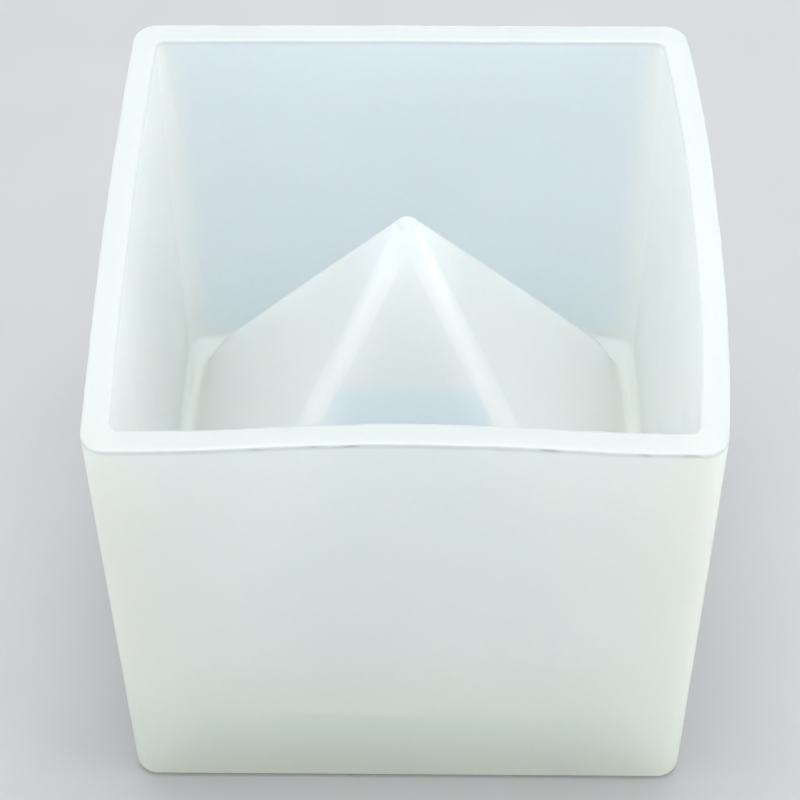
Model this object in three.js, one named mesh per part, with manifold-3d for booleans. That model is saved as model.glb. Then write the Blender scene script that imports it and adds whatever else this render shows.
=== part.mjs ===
// Silicone mould for casting a pyramid, lying mouth down on its pouring rim.
// A square skirt stands round a hollow four-sided pyramid, whose tip reaches the level of the skirt's foot rim.
// The skirt and the pyramid run into each other at the bottom, in one moulding.
// Millimetres, +Z up, X across, Y to the rear, the origin at the middle of the pouring side.
import * as THREE from "three";
import { ConvexGeometry } from "three/addons/geometries/ConvexGeometry.js";
import { mergeVertices } from "three/addons/utils/BufferGeometryUtils.js";
import Module from "manifold-3d";

// The skirt.
const MOULD_WIDTH = 100;
const MOULD_HEIGHT = 94.5;
const SKIRT_WALL = 4.4;
const OUTER_CORNER_RADIUS = 4.2;
const INNER_CORNER_RADIUS = 1.5;

// The pyramid-shaped casting cavity, open at the bottom.
const MOUTH_WIDTH = 89;
const CAVITY_DEPTH = 84;

// The outside of the pyramid, parallel to the cavity's sides. Its edges are rounder towards the foot.
const TIP_RADIUS = 2.5;
const EDGE_RADIUS_AT_FOOT = 6;

// The trough between the skirt and the pyramid: a round floor, level all the way round.
const TROUGH_RADIUS = 1.7;
const TROUGH_FLAT = 0.4;

// The levels where one part of the moulding passes into the next. The lip takes in the trough's floor.
const LIP_HEIGHT = 19;
const TIP_FROM_HEIGHT = 86;

// How finely the curves are drawn.
const CORNER_STEPS = 8;
const TROUGH_STEPS = 6;
const TIP_RINGS = 5;
const TIP_SECTORS = 24;

// How far a cutting shape runs past what it cuts, and the smallest corner worth drawing.
const OVERRUN = 1;
const LEAST_RADIUS = 0.2;

const HALF_WIDTH = MOULD_WIDTH / 2;
const INNER_HALF_WIDTH = HALF_WIDTH - SKIRT_WALL;
const SIDE_SLOPE = CAVITY_DEPTH / (MOUTH_WIDTH / 2);
const SIDE_ANGLE = Math.atan(SIDE_SLOPE);
const TIP_CENTRE_HEIGHT = MOULD_HEIGHT - TIP_RADIUS;
const SHARP_TIP_HEIGHT = TIP_CENTRE_HEIGHT + TIP_RADIUS / Math.cos(SIDE_ANGLE);
const WEDGE_HEIGHT = SHARP_TIP_HEIGHT - INNER_HALF_WIDTH * SIDE_SLOPE;
const WEDGE_HALF_ANGLE = (Math.PI / 2 - SIDE_ANGLE) / 2;
const TROUGH_CENTRE = INNER_HALF_WIDTH - TROUGH_RADIUS;
const TROUGH_CENTRE_HEIGHT = WEDGE_HEIGHT + TROUGH_RADIUS / Math.tan(WEDGE_HALF_ANGLE);

const wasm = await Module();
wasm.setup();

// A closed three.js geometry as a solid.
function solid(geometry) {
  const bare = geometry.clone();
  bare.deleteAttribute("normal");
  bare.deleteAttribute("uv");
  const merged = mergeVertices(bare);
  return new wasm.Manifold(
    new wasm.Mesh({
      numProp: 3,
      vertProperties: new Float32Array(merged.attributes.position.array),
      triVerts: new Uint32Array(merged.index.array),
    }),
  );
}

// A solid as a flat-shaded three.js geometry.
function geometryOf(shape) {
  const mesh = shape.getMesh();
  const indexed = new THREE.BufferGeometry();
  indexed.setAttribute("position", new THREE.BufferAttribute(mesh.vertProperties, mesh.numProp));
  indexed.setIndex(new THREE.BufferAttribute(mesh.triVerts, 1));
  const flat = indexed.toNonIndexed();
  flat.computeVertexNormals();
  return flat;
}

// A straight-sided block from a plan shape, between two heights.
function upright(plan, from, to) {
  const geometry = new THREE.ExtrudeGeometry(plan, {
    depth: to - from,
    bevelEnabled: false,
    curveSegments: CORNER_STEPS,
  });
  return solid(geometry.translate(0, 0, from));
}

// A square plan with rounded corners.
function roundedSquare(width, radius) {
  const half = width / 2;
  const plan = new THREE.Shape();
  plan.moveTo(-half + radius, -half);
  plan.lineTo(half - radius, -half);
  plan.absarc(half - radius, -half + radius, radius, -Math.PI / 2, 0);
  plan.lineTo(half, half - radius);
  plan.absarc(half - radius, half - radius, radius, 0, Math.PI / 2);
  plan.lineTo(-half + radius, half);
  plan.absarc(-half + radius, half - radius, radius, Math.PI / 2, Math.PI);
  plan.lineTo(-half, -half + radius);
  plan.absarc(-half + radius, -half + radius, radius, Math.PI, 1.5 * Math.PI);
  return plan;
}

// A ring of points round a square with rounded corners, at one height.
function levelRing(width, radius, height) {
  const ring = roundedSquare(width, radius).getPoints(CORNER_STEPS);
  return ring.map((point) => new THREE.Vector3(point.x, point.y, height));
}

// The rounded tip: rings of points from its top down to where the flat sides begin.
function tipPoints() {
  const points = [new THREE.Vector3(0, 0, MOULD_HEIGHT)];
  for (let ring = 1; ring <= TIP_RINGS; ring++) {
    const tilt = (SIDE_ANGLE * ring) / TIP_RINGS;
    const reach = TIP_RADIUS * Math.sin(tilt);
    const height = TIP_CENTRE_HEIGHT + TIP_RADIUS * Math.cos(tilt);
    for (let sector = 0; sector < TIP_SECTORS; sector++) {
      const turn = (2 * Math.PI * sector) / TIP_SECTORS;
      points.push(new THREE.Vector3(reach * Math.cos(turn), reach * Math.sin(turn), height));
    }
  }
  return points;
}

// One ring of the trough's round floor, as far up the pyramid's side or the skirt's as the angle says.
function pyramidFootRing(angle) {
  const inset = TROUGH_RADIUS * Math.sin(angle) + TROUGH_FLAT / 2;
  const flare = TROUGH_RADIUS * (Math.sin(SIDE_ANGLE) - Math.sin(angle));
  const height = TROUGH_CENTRE_HEIGHT - TROUGH_RADIUS * Math.cos(angle);
  return levelRing(2 * (TROUGH_CENTRE - inset), EDGE_RADIUS_AT_FOOT + flare, height);
}

function skirtFootRing(angle) {
  const reach = TROUGH_RADIUS * Math.sin(angle);
  const radius = Math.max(INNER_CORNER_RADIUS - TROUGH_RADIUS + reach, LEAST_RADIUS);
  const height = TROUGH_CENTRE_HEIGHT - TROUGH_RADIUS * Math.cos(angle);
  return levelRing(2 * (TROUGH_CENTRE + reach), radius, height);
}

// The outside of the pyramid: four flat sides, rounded edges, a round tip and a flared foot.
function outerPyramid() {
  let shape = solid(new ConvexGeometry([...tipPoints(), ...pyramidFootRing(SIDE_ANGLE)]));
  for (let step = 0; step < TROUGH_STEPS; step++) {
    const lower = pyramidFootRing((SIDE_ANGLE * step) / TROUGH_STEPS);
    const upper = pyramidFootRing((SIDE_ANGLE * (step + 1)) / TROUGH_STEPS);
    shape = shape.add(solid(new ConvexGeometry([...lower, ...upper])));
  }
  return shape;
}

// The space inside the skirt, down to the floor of the trough.
function skirtSpace() {
  const points = levelRing(2 * INNER_HALF_WIDTH, INNER_CORNER_RADIUS, MOULD_HEIGHT + OVERRUN);
  for (let step = 0; step <= TROUGH_STEPS; step++) {
    points.push(...skirtFootRing(((Math.PI / 2) * step) / TROUGH_STEPS));
  }
  return solid(new ConvexGeometry(points));
}

// The cavity that is filled with resin: a sharp pyramid, run on a little below the mouth.
function castingCavity() {
  const height = CAVITY_DEPTH + OVERRUN;
  const cornerReach = (height / SIDE_SLOPE) * Math.SQRT2;
  const geometry = new THREE.ConeGeometry(cornerReach, height, 4);
  geometry.rotateX(Math.PI / 2);
  geometry.rotateZ(Math.PI / 4);
  geometry.translate(0, 0, height / 2 - OVERRUN);
  return solid(geometry);
}

// The four sides, each with the turn that brings the +X side round to it.
const SIDES = [
  { name: "front", turn: -Math.PI / 2 },
  { name: "rear", turn: Math.PI / 2 },
  { name: "left", turn: Math.PI },
  { name: "right", turn: 0 },
];

// The whole moulding.
function moulding() {
  const block = upright(roundedSquare(MOULD_WIDTH, OUTER_CORNER_RADIUS), 0, MOULD_HEIGHT);
  const trough = skirtSpace().subtract(outerPyramid());
  return block.subtract(trough).subtract(castingCavity());
}

// The quarter of the plan that belongs to one side, between two heights and out from a distance.
function quarter(side, from, to, inner, outer) {
  const plan = new THREE.Shape();
  plan.moveTo(inner, -inner);
  plan.lineTo(outer, -outer);
  plan.lineTo(outer, outer);
  plan.lineTo(inner, inner);
  const geometry = new THREE.ExtrudeGeometry(plan, { depth: to - from, bevelEnabled: false });
  geometry.rotateZ(side.turn);
  geometry.translate(0, 0, from);
  return solid(geometry);
}

// A named mesh in the silicone's colour.
function piece(name, shape, color) {
  const material = new THREE.MeshStandardMaterial({ color, roughness: 0.5, metalness: 0 });
  const mesh = new THREE.Mesh(geometryOf(shape), material);
  mesh.name = name;
  return mesh;
}

const SKIRT_COLOR = 0xdfeae5;
const PYRAMID_COLOR = 0xd3dfe0;
const LIP_COLOR = 0xc9d6d0;
const TIP_COLOR = 0xeef5f1;

// The moulding in its parts: lip, skirt wall and pyramid side on each side, and the tip.
function build() {
  const whole = moulding();
  const group = new THREE.Group();
  const past = HALF_WIDTH + OVERRUN;
  const above = MOULD_HEIGHT + OVERRUN;
  for (const side of SIDES) {
    const lip = quarter(side, -OVERRUN, LIP_HEIGHT, 0, past);
    const wall = quarter(side, LIP_HEIGHT, above, TROUGH_CENTRE, past);
    const face = quarter(side, LIP_HEIGHT, TIP_FROM_HEIGHT, 0, TROUGH_CENTRE);
    group.add(piece(`pour_lip_${side.name}`, whole.intersect(lip), LIP_COLOR));
    group.add(piece(`skirt_${side.name}_wall`, whole.intersect(wall), SKIRT_COLOR));
    group.add(piece(`pyramid_${side.name}_side`, whole.intersect(face), PYRAMID_COLOR));
  }
  const tip = upright(roundedSquare(MOULD_WIDTH / 2, OUTER_CORNER_RADIUS), TIP_FROM_HEIGHT, above);
  group.add(piece("pyramid_tip", whole.intersect(tip), TIP_COLOR));
  return group;
}

export default build();
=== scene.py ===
import math

import bpy
from mathutils import Matrix, Vector, noise


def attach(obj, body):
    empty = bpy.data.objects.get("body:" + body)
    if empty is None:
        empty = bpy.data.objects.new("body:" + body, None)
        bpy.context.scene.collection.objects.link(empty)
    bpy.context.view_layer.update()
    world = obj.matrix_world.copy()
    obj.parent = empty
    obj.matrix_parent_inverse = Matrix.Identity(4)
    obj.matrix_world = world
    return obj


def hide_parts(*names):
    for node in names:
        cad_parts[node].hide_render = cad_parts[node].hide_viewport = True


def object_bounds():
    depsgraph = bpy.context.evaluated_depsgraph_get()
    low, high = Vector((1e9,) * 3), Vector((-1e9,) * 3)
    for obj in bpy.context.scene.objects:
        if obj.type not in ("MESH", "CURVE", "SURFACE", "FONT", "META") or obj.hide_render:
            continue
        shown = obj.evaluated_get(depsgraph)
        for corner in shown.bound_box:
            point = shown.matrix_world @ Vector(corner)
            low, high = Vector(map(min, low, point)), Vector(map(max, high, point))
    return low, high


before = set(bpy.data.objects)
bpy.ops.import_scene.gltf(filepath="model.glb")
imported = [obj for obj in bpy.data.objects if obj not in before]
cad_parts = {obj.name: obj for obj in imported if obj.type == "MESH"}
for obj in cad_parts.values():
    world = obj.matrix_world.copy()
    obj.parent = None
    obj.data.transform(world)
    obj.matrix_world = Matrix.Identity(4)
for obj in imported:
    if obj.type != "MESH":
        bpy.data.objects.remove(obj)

MM = 0.001
CAD_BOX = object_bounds()

# The moulding's nominal shape, on the frame's own box.
HALF_WIDTH = (CAD_BOX[1][0] - CAD_BOX[0][0]) / 2
HEIGHT = CAD_BOX[1][2]
WALL = 4.4 * MM
OUTER_CORNER = 4.2 * MM
INNER_CORNER = 1.5 * MM
DEEP_CORNER = 3.6 * MM
DEEP_CORNER_BELOW = 30 * MM
CAVITY_DEPTH = 84 * MM
MOUTH_HALF = 44.5 * MM
TIP_RADIUS = 2.5 * MM
FOOT_EDGE_RADIUS = 6 * MM
TROUGH_RADIUS = 1.7 * MM

INNER_HALF = HALF_WIDTH - WALL
SLOPE = CAVITY_DEPTH / MOUTH_HALF
SIDE_ANGLE = math.atan(SLOPE)
SHARP_TIP = HEIGHT - TIP_RADIUS + TIP_RADIUS / math.cos(SIDE_ANGLE)
TROUGH_U = INNER_HALF - TROUGH_RADIUS
WEDGE_Z = SHARP_TIP - INNER_HALF * SLOPE
TROUGH_Z = WEDGE_Z + TROUGH_RADIUS / math.tan((math.pi / 2 - SIDE_ANGLE) / 2)

# Corner radii change by this power of the way down the pyramid, and at this rate going in over the rim.
EDGE_ROUNDING = 1.15
RIM_CORNER_TAPER = 0.6

# The edges that the moulding's own tool and the trimming knife leave.
RIM_OUTER_EDGE = 0.4 * MM
RIM_INNER_EDGE = 0.45 * MM
OUTER_TRIM_LINE = 0.25 * MM
INNER_TRIM_LINE = 0.1 * MM
BASE_EDGE = 1.3 * MM
MOUTH_EDGE = 0.4 * MM
CAVITY_CORNER = 0.35 * MM

# How far each skirt wall has relaxed out of flat at mid rim, outwards positive, and how full its curve is.
BOWS = {
    "front": (-1.7 * MM, 0.0),
    "right": (2.0 * MM, 1.0),
    "rear": (0.1 * MM, 0.0),
    "left": (0.7 * MM, 0.7),
}
FULL_BOW_POWER = 2.4
STIFF_BELOW = 14 * MM

# How far the trough dips at its four corners, and how far from a corner and from its own level that reaches.
CORNER_DIP = 2.6 * MM
CORNER_DIP_REACH = 7 * MM
CORNER_DIP_DEPTH = 4 * MM

# How finely the moulding is drawn: points round a ring, and rings or steps of each stretch of the section.
SIDE_STEPS = 72
CORNER_STEPS = 8
TIP_STEPS = 8
PYRAMID_STEPS = 46
TROUGH_STEPS = 14
PYRAMID_BANK_STEPS = 8
INNER_WALL_STEPS = 40
INNER_EDGE_STEPS = 4
RIM_STEPS = 5
OUTER_EDGE_STEPS = 5
TRIM_STEPS = 3
OUTER_WALL_STEPS = 46
BASE_EDGE_STEPS = 6
LIP_STEPS = 4
MOUTH_EDGE_STEPS = 3
CAVITY_STEPS = 52

# The share of a quarter turn that a corner's own points take on a ring with no straight side,
# and the straight half-length from which they take the whole of it.
LEAST_CORNER_TURN = 0.1
FULL_CORNER_AT = 8 * MM


def lerp(a, b, t):
    return a + (b - a) * t


def arc(centre, radius, start, end, steps):
    """Points of an arc in the section plane, angles in degrees from +u towards +z."""
    points = []
    for step in range(steps + 1):
        angle = math.radians(lerp(start, end, step / steps))
        points.append((centre[0] + radius * math.cos(angle), centre[1] + radius * math.sin(angle)))
    return points


def line(a, b, steps):
    """Points between a and b, without either end."""
    return [(lerp(a[0], b[0], k / steps), lerp(a[1], b[1], k / steps)) for k in range(1, steps)]


def section():
    """The rings from the pyramid's tip over the skirt to the cavity's tip.

    Each is (half width, height, corner radius, kind).
    """
    rings = []
    side_degrees = math.degrees(SIDE_ANGLE)

    def add(points, corner, kind):
        for u, z in points:
            rings.append((u, z, min(corner(u, z), u), kind))

    foot = (TROUGH_U - TROUGH_RADIUS * math.sin(SIDE_ANGLE), TROUGH_Z - TROUGH_RADIUS * math.cos(SIDE_ANGLE))
    tangent = (TIP_RADIUS * math.sin(SIDE_ANGLE), HEIGHT - TIP_RADIUS + TIP_RADIUS * math.cos(SIDE_ANGLE))

    def pyramid_corner(u, z):
        down = (tangent[1] - z) / (tangent[1] - foot[1])
        return lerp(tangent[0], FOOT_EDGE_RADIUS, max(0.0, down) ** EDGE_ROUNDING)

    def pyramid_bank_corner(u, z):
        return FOOT_EDGE_RADIUS + (u - foot[0])

    def skirt_bank_corner(u, z):
        return DEEP_CORNER - (INNER_HALF - u)

    def inner_corner(u, z):
        return lerp(INNER_CORNER, DEEP_CORNER, smooth((HEIGHT - z) / DEEP_CORNER_BELOW))

    def rim_corner(u, z):
        return OUTER_CORNER - (HALF_WIDTH - u) * (OUTER_CORNER - INNER_CORNER) / WALL

    def lip_corner(u, z):
        return lerp(CAVITY_CORNER, OUTER_CORNER, (u - MOUTH_HALF) / (HALF_WIDTH - MOUTH_HALF))

    cap = arc((0, HEIGHT - TIP_RADIUS), TIP_RADIUS, 90, 90 - side_degrees, TIP_STEPS)[1:]
    add(cap, lambda u, z: u, "pyramid")
    add(line(tangent, foot, PYRAMID_STEPS), pyramid_corner, "pyramid")
    trough = arc((TROUGH_U, TROUGH_Z), TROUGH_RADIUS, 180 + 90 - side_degrees, 360, TROUGH_STEPS)
    add(trough[:PYRAMID_BANK_STEPS], pyramid_bank_corner, "trough")
    add(trough[PYRAMID_BANK_STEPS:], skirt_bank_corner, "trough")

    inner_top = (INNER_HALF, HEIGHT - RIM_INNER_EDGE)
    add(line(trough[-1], inner_top, INNER_WALL_STEPS), inner_corner, "skirt")
    inner_edge = (INNER_HALF + RIM_INNER_EDGE, HEIGHT - RIM_INNER_EDGE)
    inner_arc = arc(inner_edge, RIM_INNER_EDGE, 180, 90, INNER_EDGE_STEPS)
    add(inner_arc, lambda u, z: INNER_CORNER + (u - INNER_HALF), "skirt")
    rim = ((inner_edge[0] + INNER_TRIM_LINE, HEIGHT), (HALF_WIDTH - RIM_OUTER_EDGE, HEIGHT))
    add([rim[0]] + line(*rim, RIM_STEPS), rim_corner, "skirt")
    outer_edge = (HALF_WIDTH - RIM_OUTER_EDGE, HEIGHT - RIM_OUTER_EDGE)
    outer_arc = arc(outer_edge, RIM_OUTER_EDGE, 90, 0, OUTER_EDGE_STEPS)
    add(outer_arc, lambda u, z: OUTER_CORNER - (HALF_WIDTH - u) * RIM_CORNER_TAPER, "skirt")

    under = (HALF_WIDTH, HEIGHT - RIM_OUTER_EDGE - OUTER_TRIM_LINE)
    low = (HALF_WIDTH, BASE_EDGE)
    add(line((HALF_WIDTH, HEIGHT - RIM_OUTER_EDGE), under, TRIM_STEPS), lambda u, z: OUTER_CORNER, "skirt")
    add([under] + line(under, low, OUTER_WALL_STEPS), lambda u, z: OUTER_CORNER, "skirt")
    base_arc = arc((HALF_WIDTH - BASE_EDGE, BASE_EDGE), BASE_EDGE, 0, -90, BASE_EDGE_STEPS)
    add(base_arc, lambda u, z: OUTER_CORNER - (HALF_WIDTH - u), "skirt")

    lip = ((HALF_WIDTH - BASE_EDGE, 0), (MOUTH_HALF + MOUTH_EDGE, 0))
    add(line(*lip, LIP_STEPS), lip_corner, "lip")
    mouth = arc((MOUTH_HALF + MOUTH_EDGE, MOUTH_EDGE), MOUTH_EDGE, -90, -180, MOUTH_EDGE_STEPS)
    add(mouth, lambda u, z: CAVITY_CORNER, "lip")
    add(line(mouth[-1], (0, CAVITY_DEPTH), CAVITY_STEPS), lambda u, z: CAVITY_CORNER, "cavity")
    return rings


SIDES = (
    ("front", Vector((0, -1, 0)), Vector((1, 0, 0))),
    ("right", Vector((1, 0, 0)), Vector((0, 1, 0))),
    ("rear", Vector((0, 1, 0)), Vector((-1, 0, 0))),
    ("left", Vector((-1, 0, 0)), Vector((0, -1, 0))),
)


def bow_shape(t, fullness):
    """The bow along a side, from 0 at either corner to 1 in the middle: t runs from -1 to 1."""
    clamped = math.cos(math.pi * t / 2) ** 2
    return lerp(clamped, 1 - abs(t) ** FULL_BOW_POWER, fullness)


def smooth(t):
    t = min(1.0, max(0.0, t))
    return t * t * (3 - 2 * t)


def ring_path(straight, corner):
    """One side and the corner after it: (distance along, sideways reach, turn of the arc), evenly spaced."""
    corner_turn = math.pi / 2 * lerp(LEAST_CORNER_TURN, 1.0, smooth(straight / FULL_CORNER_AT))
    before = (math.pi / 2 - corner_turn) / 2
    half = straight + corner * before
    path = []
    for step in range(SIDE_STEPS):
        along = half * (-1 + 2 * step / SIDE_STEPS)
        past = max(0.0, abs(along) - straight) / corner
        path.append((math.copysign(min(abs(along), straight), along), math.copysign(past, along)))
    for step in range(CORNER_STEPS):
        path.append((straight, before + corner_turn * step / CORNER_STEPS))
    return path


def corner_dip(z, u, kind):
    """How much lower the trough lies at its corners, at this level of its two banks."""
    on_bank = kind in ("trough", "pyramid") or (kind == "skirt" and u < INNER_HALF + MM)
    return CORNER_DIP * math.exp(-(((z - TROUGH_Z) / CORNER_DIP_DEPTH) ** 2)) if on_bank else 0.0


def ring_points(u, z, corner, kind):
    """One ring of the moulding, with the skirt's relaxed bow and the dip of the trough at its corners."""
    give = smooth((z - STIFF_BELOW) / (HEIGHT - STIFF_BELOW)) if kind == "skirt" else 0.0
    dip = corner_dip(z, u, kind)
    straight = max(0.0, u - corner)
    points = []
    for name, out, along in SIDES:
        bow, fullness = BOWS[name]
        for distance, turn in ring_path(straight, corner):
            t = distance / straight if straight > 0 else 1.0
            shift = bow * give * bow_shape(t, fullness)
            outward = straight + corner * math.cos(turn) + shift
            place = out * outward + along * (distance + corner * math.sin(turn))
            near = math.exp(-(((straight - abs(distance)) / CORNER_DIP_REACH) ** 2))
            points.append(Vector((place.x, place.y, z - dip * near)))
    return points


# The hand-trimmed rim: how far down the knife's marks reach, and how far the edges wander.
# A noise's scale is per metre.
TRIMMED_BELOW_RIM = 2.5 * MM
COARSE_WANDER_SCALE = 180
COARSE_WANDER = 0.10 * MM
FINE_WANDER_SCALE = 520
FINE_WANDER = 0.05 * MM
RIM_UNEVEN_SCALE = 90
RIM_UNEVEN = 0.10 * MM
RIM_UNEVEN_FROM = Vector((7, 3, 1))
RIM_DROP = 0.06 * MM

# The painted dark lines along the rim, a painted shadow under the outer edge and painted shade inside the
# front wall's edge: where the noise breaks them, and how far each reaches round and down, in shares of the
# edge's radius and of the trim line. The inner line stops short of the side walls.
OUTER_LINE_SCALE = 390
OUTER_LINE_START = 0.25
OUTER_LINE_FADE = 0.12
OUTER_LINE_ROUND = 0.3
OUTER_LINE_DOWN = 0.9
INNER_LINE_SCALE = 60
INNER_LINE_START = -0.2
INNER_LINE_FADE = 0.4
INNER_LINE_ROUND = 1.05
INNER_LINE_DOWN = 1.1
INNER_LINE_LEAST = 0.35
INNER_LINE_SHORT = 1 * MM


def trim_marks(points, kind):
    """The rim is trimmed by hand, so its edges wander by a tenth of a millimetre or so."""
    if kind != "skirt":
        return points
    marked = []
    for p in points:
        near_rim = smooth((p.z - HEIGHT + TRIMMED_BELOW_RIM) / TRIMMED_BELOW_RIM)
        if near_rim > 0:
            wander = noise.noise(p * COARSE_WANDER_SCALE) * COARSE_WANDER
            wander += noise.noise(p * FINE_WANDER_SCALE) * FINE_WANDER
            out = Vector((p.x, p.y, 0)).normalized()
            p = p + out * wander * near_rim
            uneven = noise.noise(p * RIM_UNEVEN_SCALE + RIM_UNEVEN_FROM) * RIM_UNEVEN * near_rim
            p.z += uneven - RIM_DROP * near_rim
        marked.append(p)
    return marked


def rim_shade_line(point, u, z, kind):
    """How dark the painted line is at a point: a painted shadow under the outer edge, or painted shade inside
    the front wall's.
    """
    if kind != "skirt":
        return 0.0
    outer_low = HEIGHT - RIM_OUTER_EDGE - OUTER_LINE_DOWN * OUTER_TRIM_LINE
    if u > HALF_WIDTH - OUTER_LINE_ROUND * RIM_OUTER_EDGE and z > outer_low:
        return smooth((noise.noise(point * OUTER_LINE_SCALE) - OUTER_LINE_START) / OUTER_LINE_FADE)
    inner_low = HEIGHT - INNER_LINE_DOWN * RIM_INNER_EDGE
    on_inner_edge = u < INNER_HALF + INNER_LINE_ROUND * RIM_INNER_EDGE and z > inner_low
    if on_inner_edge and point.y < 0 and abs(point.x) < INNER_HALF - INNER_LINE_SHORT:
        broken = smooth((noise.noise(point * INNER_LINE_SCALE) - INNER_LINE_START) / INNER_LINE_FADE)
        return lerp(INNER_LINE_LEAST, 1.0, broken)
    return 0.0


def moulding():
    """The whole moulding as one seamless mesh of rings, closed at both tips."""
    rings = section()
    vertices = [Vector((0, 0, HEIGHT))]
    line_shades = [0.0]
    for u, z, corner, kind in rings:
        ring = trim_marks(ring_points(u, z, corner, kind), kind)
        vertices += ring
        line_shades += [rim_shade_line(point, u, z, kind) for point in ring]
    vertices.append(Vector((0, 0, CAVITY_DEPTH)))
    line_shades.append(0.0)
    around = len(SIDES) * (SIDE_STEPS + CORNER_STEPS)
    faces = []
    for k in range(around):
        faces.append((0, 1 + k, 1 + (k + 1) % around))
    for ring in range(len(rings) - 1):
        upper = 1 + ring * around
        lower = upper + around
        for k in range(around):
            after = (k + 1) % around
            faces.append((upper + k, lower + k, lower + after, upper + after))
    last = 1 + (len(rings) - 1) * around
    for k in range(around):
        faces.append((last + k, len(vertices) - 1, last + (k + 1) % around))
    mesh = bpy.data.meshes.new("silicone_moulding")
    mesh.from_pydata([v[:] for v in vertices], [], faces)
    mesh.attributes.new("rim_shade_line", "FLOAT", "POINT").data.foreach_set("value", line_shades)
    mesh.validate()
    for polygon in mesh.polygons:
        polygon.use_smooth = True
    body = bpy.data.objects.new("silicone_moulding", mesh)
    bpy.context.scene.collection.objects.link(body)
    return body


def add_node(tree, kind, settings, inputs):
    """A node with its settings and its inputs, each input a value or another node's socket."""
    made = tree.nodes.new(kind)
    for key, value in settings.items():
        setattr(made, key, value)
    for key, value in inputs.items():
        if isinstance(value, bpy.types.NodeSocket):
            tree.links.new(value, made.inputs[key])
        else:
            made.inputs[key].default_value = value
    return made


def calc(tree, operation, a, b=0.0):
    """The result of one sum on two values or sockets."""
    return add_node(tree, "ShaderNodeMath", {"operation": operation}, {0: a, 1: b}).outputs[0]


def fade(tree, value, start, end, low=0.0, high=1.0):
    """From low at start to high at end, and level beyond either."""
    inputs = {"Value": value, "From Min": start, "From Max": end, "To Min": low, "To Max": high}
    return add_node(tree, "ShaderNodeMapRange", {"interpolation_type": "SMOOTHSTEP"}, inputs).outputs[0]


def blend(tree, factor, a, b, how="MIX"):
    """Colour a where the factor is 0 and b where it is 1, or the two put together another way."""
    settings = {"data_type": "RGBA", "blend_type": how}
    return add_node(tree, "ShaderNodeMix", settings, {0: factor, 6: a, 7: b}).outputs[2]


def grain(tree, place, scale, detail):
    """Noise over the surface, its scale per metre."""
    inputs = {"Vector": place, "Scale": scale, "Detail": detail}
    return add_node(tree, "ShaderNodeTexNoise", {"noise_dimensions": "3D"}, inputs).outputs[0]


def product(tree, first, *others):
    """All the masks multiplied together."""
    for other in others:
        first = calc(tree, "MULTIPLY", first, other)
    return first


# The silicone's colour, with light and shade painted in: a painted highlight along the pyramid's edges,
# painted shade on the rim's top, the tip, the faces' upper parts, the trough and low on the outer walls,
# where the thicker silicone is also greener, and painted dim blue where a dark space would show through the
# thin rear wall and the pyramid's front face.
OPEN_COLOR = (0.975, 0.995, 0.975, 1)
# Painted highlight along the pyramid's edges, whiter than the silicone round it.
EDGE_HIGHLIGHT_COLOR = (1.0, 1.0, 1.0, 1)
# Painted shade: the dim blue of a dark space seen through the thin rear wall and the front face's low band.
SEEN_THROUGH_SHADE_COLOR = (0.80, 0.915, 1.0, 1)
# Painted shade low on the outer walls, with the greener tint of the thicker silicone there.
LOW_SHADE_AND_TINT_COLOR = (0.88, 0.95, 0.835, 1)
# Painted shade on the pyramid's top-lit tip.
TIP_SHADE_COLOR = (0.86, 0.89, 0.89, 1)
FACE_COLOR = (0.945, 0.965, 0.955, 1)
# Painted shade on the upper part of the pyramid's faces.
FACE_TOP_SHADE_COLOR = (0.84, 0.865, 0.865, 1)
CORNER_COLOR = (0.97, 0.975, 0.90, 1)
# Painted shade in the trough round the pyramid's foot.
TROUGH_SHADE_COLOR = (0.885, 0.91, 0.89, 1)
# Painted shade on the rim's upward face.
RIM_TOP_SHADE_COLOR = (0.645, 0.68, 0.665, 1)
# Painted shadow under the rim's outer edge, and painted shade along the front wall's inner edge.
RIM_LINE_SHADE_COLOR = (0.36, 0.38, 0.37, 1)

# Where each colour lies: the place where it starts and the place where it is full. "Reach" is the distance
# out from the middle on the square plan. "Edge across" is how far |x| is past |y|, which is 0 on an edge of
# the pyramid. "Front face" is y plus |x|, which is 0 on the front edges and less between them.
PYRAMID_REACH = (43.5 * MM, 41 * MM)
FACE_TOP_SHADE_HEIGHTS = (60 * MM, 84 * MM)
EDGE_ACROSS_FRONT = (-3.9 * MM, -3.1 * MM)
EDGE_ACROSS_SIDE = (1.4 * MM, -1.8 * MM)
EDGE_REACH = (42 * MM, 34 * MM)
TIP_HEIGHTS = (86 * MM, 91 * MM)
TIP_REACH = (36 * MM, 26 * MM)
OUTSIDE_REACH = (47 * MM, 49 * MM)
CORNER_ALONG = (34 * MM, 47 * MM)
MIDDLE_ALONG = (54 * MM, 38 * MM)
LOW_HEIGHTS = (45 * MM, 8 * MM)
TROUGH_INNER_REACH = (37 * MM, 42.5 * MM)
TROUGH_OUTER_REACH = (46.5 * MM, 45.7 * MM)
TROUGH_LOWER_HEIGHTS = (13 * MM, 16 * MM)
TROUGH_UPPER_HEIGHTS = (28 * MM, 20 * MM)
REAR_WALL_INSIDE = (38 * MM, 44 * MM)
REAR_WALL_OUTSIDE = (49 * MM, 47.5 * MM)
REAR_WALL_ACROSS = (46 * MM, 40 * MM)
REAR_WALL_HEIGHTS = (16.5 * MM, 20 * MM)
FRONT_FACE = (-2.6 * MM, -3.8 * MM)
SHADE_BAND_HEIGHTS = (70 * MM, 68 * MM)
SHADE_BAND_INSIDE = (-38 * MM, -30 * MM)
RIM_SHADE_HEIGHTS = (HEIGHT - 1.3 * MM, HEIGHT - 0.5 * MM)

# The faint unevenness over all of it: the noise's scale per metre, detail and range, and how dark it goes.
CLOUD_SCALE, CLOUD_DETAIL, CLOUD_RANGE, CLOUD_DARKEST = 28, 3, (0.35, 0.65), 0.975
SPECK_SCALE, SPECK_DETAIL, SPECK_RANGE, SPECK_DARKEST = 900, 2, (0.3, 0.7), 0.98


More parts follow.
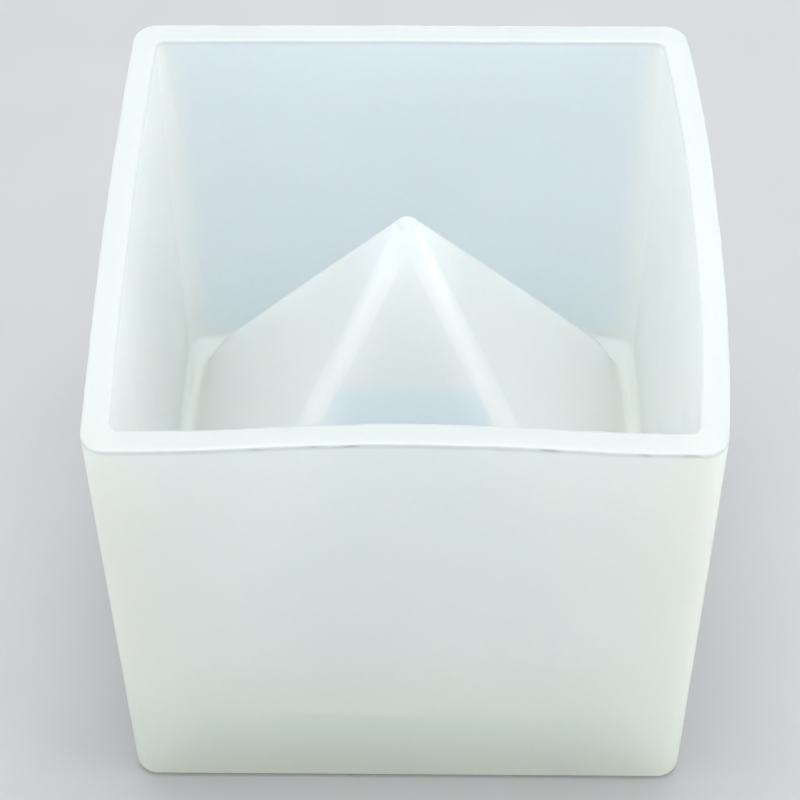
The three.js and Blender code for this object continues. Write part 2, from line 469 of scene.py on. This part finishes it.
def silicone_color(tree, place):
    """The colour over the moulding, with painted highlight and painted shade, a faint cloudiness and painted
    dark lines along the rim.
    """
    x, y, z = add_node(tree, "ShaderNodeSeparateXYZ", {}, {0: place}).outputs
    across = calc(tree, "ABSOLUTE", x)
    along = calc(tree, "ABSOLUTE", y)
    off_edge = calc(tree, "SUBTRACT", across, along)
    reach = calc(tree, "MAXIMUM", across, along)
    least = calc(tree, "MINIMUM", across, along)

    # Painted shade: the pyramid's faces painted darker towards the top, where the top light falls strongest.
    face_with_top_shade = blend(tree, fade(tree, z, *FACE_TOP_SHADE_HEIGHTS), FACE_COLOR, FACE_TOP_SHADE_COLOR)
    color = blend(tree, fade(tree, reach, *PYRAMID_REACH), OPEN_COLOR, face_with_top_shade)

    front_of_edge = fade(tree, off_edge, *EDGE_ACROSS_FRONT)
    side_of_edge = fade(tree, off_edge, *EDGE_ACROSS_SIDE)
    # Painted highlight: the pyramid's edges painted whiter, widening the light their thick rounding scatters.
    edge_highlight = product(tree, front_of_edge, side_of_edge, fade(tree, reach, *EDGE_REACH))
    color = blend(tree, edge_highlight, color, EDGE_HIGHLIGHT_COLOR)
    # Painted shade: the pyramid's tip painted darker under the top light.
    cap = product(tree, fade(tree, z, *TIP_HEIGHTS), fade(tree, reach, *TIP_REACH))
    color = blend(tree, cap, color, TIP_SHADE_COLOR)

    outside = fade(tree, reach, *OUTSIDE_REACH)
    corner = product(tree, outside, fade(tree, least, *CORNER_ALONG))
    color = blend(tree, corner, color, CORNER_COLOR)
    # Painted shade: the middles of the outer walls painted darker towards the bottom, also greener where the
    # silicone is thicker.
    low = product(tree, outside, fade(tree, least, *MIDDLE_ALONG), fade(tree, z, *LOW_HEIGHTS))
    color = blend(tree, low, color, LOW_SHADE_AND_TINT_COLOR)

    # Painted shade: the trough, a recess, painted darker.
    trough = product(
        tree,
        fade(tree, reach, *TROUGH_INNER_REACH),
        fade(tree, reach, *TROUGH_OUTER_REACH),
        fade(tree, z, *TROUGH_LOWER_HEIGHTS),
        fade(tree, z, *TROUGH_UPPER_HEIGHTS),
    )
    color = blend(tree, trough, color, TROUGH_SHADE_COLOR)

    # Painted shade: the rear wall's inside painted dim blue, as a dark space seen through the thin wall would
    # look.
    rear_wall_shade = product(
        tree,
        fade(tree, y, *REAR_WALL_INSIDE),
        fade(tree, across, *REAR_WALL_ACROSS),
        fade(tree, z, *REAR_WALL_HEIGHTS),
        fade(tree, y, *REAR_WALL_OUTSIDE),
    )
    color = blend(tree, rear_wall_shade, color, SEEN_THROUGH_SHADE_COLOR)
    # Painted shade: a dim blue band low on the pyramid's front face only, where the shaded floor in the
    # cavity would show through.
    on_front = fade(tree, calc(tree, "ADD", y, across), *FRONT_FACE)
    front_band_shade = product(tree, fade(tree, z, *SHADE_BAND_HEIGHTS), fade(tree, y, *SHADE_BAND_INSIDE))
    color = blend(tree, product(tree, on_front, front_band_shade), color, SEEN_THROUGH_SHADE_COLOR)

    # Painted shade: the rim's upward face painted darker.
    color = blend(tree, fade(tree, z, *RIM_SHADE_HEIGHTS), color, RIM_TOP_SHADE_COLOR)
    # Painted shadow and shade: the dark broken lines along the rim's edges.
    rim_line_shade = add_node(tree, "ShaderNodeAttribute", {"attribute_name": "rim_shade_line"}, {}).outputs["Fac"]
    color = blend(tree, rim_line_shade, color, RIM_LINE_SHADE_COLOR)

    cloud = fade(tree, grain(tree, place, CLOUD_SCALE, CLOUD_DETAIL), *CLOUD_RANGE, CLOUD_DARKEST, 1.0)
    speck = fade(tree, grain(tree, place, SPECK_SCALE, SPECK_DETAIL), *SPECK_RANGE, SPECK_DARKEST, 1.0)
    worn = product(tree, cloud, speck)
    grey = add_node(tree, "ShaderNodeCombineColor", {}, {0: worn, 1: worn, 2: worn}).outputs[0]
    return blend(tree, 1.0, color, grey, "MULTIPLY")


# The silicone: a matt, slightly rough skin round a body hazed with fine filler, which scatters blue most.
# The skin lets the clear share of the light through to the haze, and scatters the rest itself.
CLEAR_SHARE = 0.75
SILICONE_IOR = 1.41
SMOOTHEST = 0.32
ROUGHEST = 0.37
ROUGHNESS_SCALE = 45
RIPPLE_DEPTH = 0.012 * MM
RIPPLE_SCALE = 500
HAZE_COLOR = (0.62, 0.82, 1.0, 1)
HAZE_PER_METRE = 220
HAZE_FORWARD = 0.3
TINT_COLOR = (0.2, 0.95, 0.75, 1)
TINT_PER_METRE = 3

# The middle stretch of a noise's values, which a fade widens to the whole of its own range.
NOISE_MIDDLE = (0.3, 0.7)


def silicone():
    material = bpy.data.materials.new("translucent_silicone")
    material.use_nodes = True
    tree = material.node_tree
    tree.nodes.clear()
    place = add_node(tree, "ShaderNodeTexCoord", {}, {}).outputs["Object"]
    ripples = {"Strength": 1.0, "Distance": RIPPLE_DEPTH, "Height": grain(tree, place, RIPPLE_SCALE, 3)}
    skin = {
        "Base Color": silicone_color(tree, place),
        "Roughness": fade(tree, grain(tree, place, ROUGHNESS_SCALE, 2), *NOISE_MIDDLE, SMOOTHEST, ROUGHEST),
        "Normal": add_node(tree, "ShaderNodeBump", {}, ripples).outputs[0],
        "IOR": SILICONE_IOR,
        "Transmission Weight": CLEAR_SHARE,
    }
    surface = add_node(tree, "ShaderNodeBsdfPrincipled", {}, skin)
    hazed = {"Color": HAZE_COLOR, "Density": HAZE_PER_METRE, "Anisotropy": HAZE_FORWARD}
    haze = add_node(tree, "ShaderNodeVolumeScatter", {}, hazed)
    tint = add_node(tree, "ShaderNodeVolumeAbsorption", {}, {"Color": TINT_COLOR, "Density": TINT_PER_METRE})
    inside = add_node(tree, "ShaderNodeAddShader", {}, {0: haze.outputs[0], 1: tint.outputs[0]})
    ends = {"Surface": surface.outputs[0], "Volume": inside.outputs[0]}
    add_node(tree, "ShaderNodeOutputMaterial", {}, ends)
    return material


# The plain pale floor, a hair under the moulding so that the two faces don't lie on one plane.
FLOOR_HALF = 3.0
FLOOR_BELOW = 0.0002
FLOOR_COLOR = (0.222, 0.227, 0.232, 1)
FLOOR_SHADE = (0.228, 0.233, 0.238, 1)
FLOOR_SHADE_SCALE = 9
FLOOR_GRAIN_SCALE = 40
FLOOR_ROUGHNESS = (0.7, 0.85)


def floor():
    mesh = bpy.data.meshes.new("floor")
    corners = [(-FLOOR_HALF, -FLOOR_HALF, 0), (FLOOR_HALF, -FLOOR_HALF, 0)]
    corners += [(FLOOR_HALF, FLOOR_HALF, 0), (-FLOOR_HALF, FLOOR_HALF, 0)]
    mesh.from_pydata(corners, [], [(0, 1, 2, 3)])
    ground = bpy.data.objects.new("floor", mesh)
    bpy.context.scene.collection.objects.link(ground)
    material = bpy.data.materials.new("pale_floor")
    material.use_nodes = True
    tree = material.node_tree
    place = add_node(tree, "ShaderNodeTexCoord", {}, {}).outputs["Object"]
    shade = fade(tree, grain(tree, place, FLOOR_SHADE_SCALE, 3), *NOISE_MIDDLE)
    rough = fade(tree, grain(tree, place, FLOOR_GRAIN_SCALE, 3), *NOISE_MIDDLE, *FLOOR_ROUGHNESS)
    shader = tree.nodes["Principled BSDF"]
    tree.links.new(blend(tree, shade, FLOOR_COLOR, FLOOR_SHADE), shader.inputs["Base Color"])
    tree.links.new(rough, shader.inputs["Roughness"])
    mesh.materials.append(material)
    ground.location.z = -FLOOR_BELOW


WORLD_COLOR = (0.97, 0.985, 1, 1)
WORLD_STRENGTH = 0.9
WHITE = (1, 1, 1)
COOL = (0.7, 0.87, 1.0)
LIGHT_SIZE = 0.5

# Each soft light: its name, where it hangs, what it points at, its power and its colour.
LIGHTS = (
    ("top", (0.0, 0.05, 0.9), (0, 0, 0.05), 10.6, WHITE),
    ("back", (0.0, 0.75, 0.2), (0, 0, 0.06), 2.8, COOL),
    ("left", (-0.7, -0.1, 0.25), (0, 0, 0.05), 1.8, WHITE),
    ("right", (0.7, -0.1, 0.25), (0, 0, 0.05), 4.0, WHITE),
)


def studio():
    """Even light all round, and four soft lights."""
    world = bpy.data.worlds.new("studio")
    world.use_nodes = True
    world.node_tree.nodes["Background"].inputs["Color"].default_value = WORLD_COLOR
    world.node_tree.nodes["Background"].inputs["Strength"].default_value = WORLD_STRENGTH
    bpy.context.scene.world = world
    for name, place, target, power, color in LIGHTS:
        light = bpy.data.lights.new(name, "AREA")
        light.shape = "DISK"
        light.size = LIGHT_SIZE
        light.energy = power
        light.color = color
        lamp = bpy.data.objects.new(name, light)
        lamp.location = place
        lamp.rotation_euler = (Vector(target) - Vector(place)).to_track_quat("-Z", "Y").to_euler()
        bpy.context.scene.collection.objects.link(lamp)


# The photograph's camera: a long lens in front of the mould, about 50 degrees up.
LENS = 101.84
SENSOR_WIDTH = 36
CAMERA_PLACE = (4.0756 * MM, -267.907 * MM, 362.355 * MM)
CAMERA_PITCH = math.radians(49.518)
CAMERA_YAW = math.radians(1.203)
CAMERA_ROLL = math.radians(-0.635)


def camera():
    """The photograph's view: from the front and looking down."""
    data = bpy.data.cameras.new("camera")
    data.sensor_width = SENSOR_WIDTH
    data.lens = LENS
    eye = bpy.data.objects.new("camera", data)
    tilt = Matrix.Rotation(math.pi / 2 - CAMERA_PITCH, 3, "X")
    turn = Matrix.Rotation(CAMERA_YAW, 3, "Z") @ tilt @ Matrix.Rotation(CAMERA_ROLL, 3, "Z")
    eye.matrix_world = Matrix.Translation(CAMERA_PLACE) @ turn.to_4x4()
    bpy.context.scene.collection.objects.link(eye)
    bpy.context.scene.camera = eye


# Light needs many turns inside the haze before it comes out again.
MOST_BOUNCES = 64

# The soft contrast of the photograph.
DISPLAY_GAMMA = 1.4


def render_settings():
    scene = bpy.context.scene
    scene.view_settings.view_transform = "Standard"
    scene.view_settings.gamma = DISPLAY_GAMMA
    scene.cycles.max_bounces = MOST_BOUNCES
    scene.cycles.diffuse_bounces = MOST_BOUNCES
    scene.cycles.glossy_bounces = MOST_BOUNCES
    scene.cycles.transmission_bounces = MOST_BOUNCES
    scene.cycles.volume_bounces = MOST_BOUNCES
    scene.cycles.use_denoising = True


body = moulding()
body.data.materials.append(silicone())
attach(body, "root")
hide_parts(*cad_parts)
floor()
studio()
camera()
render_settings()
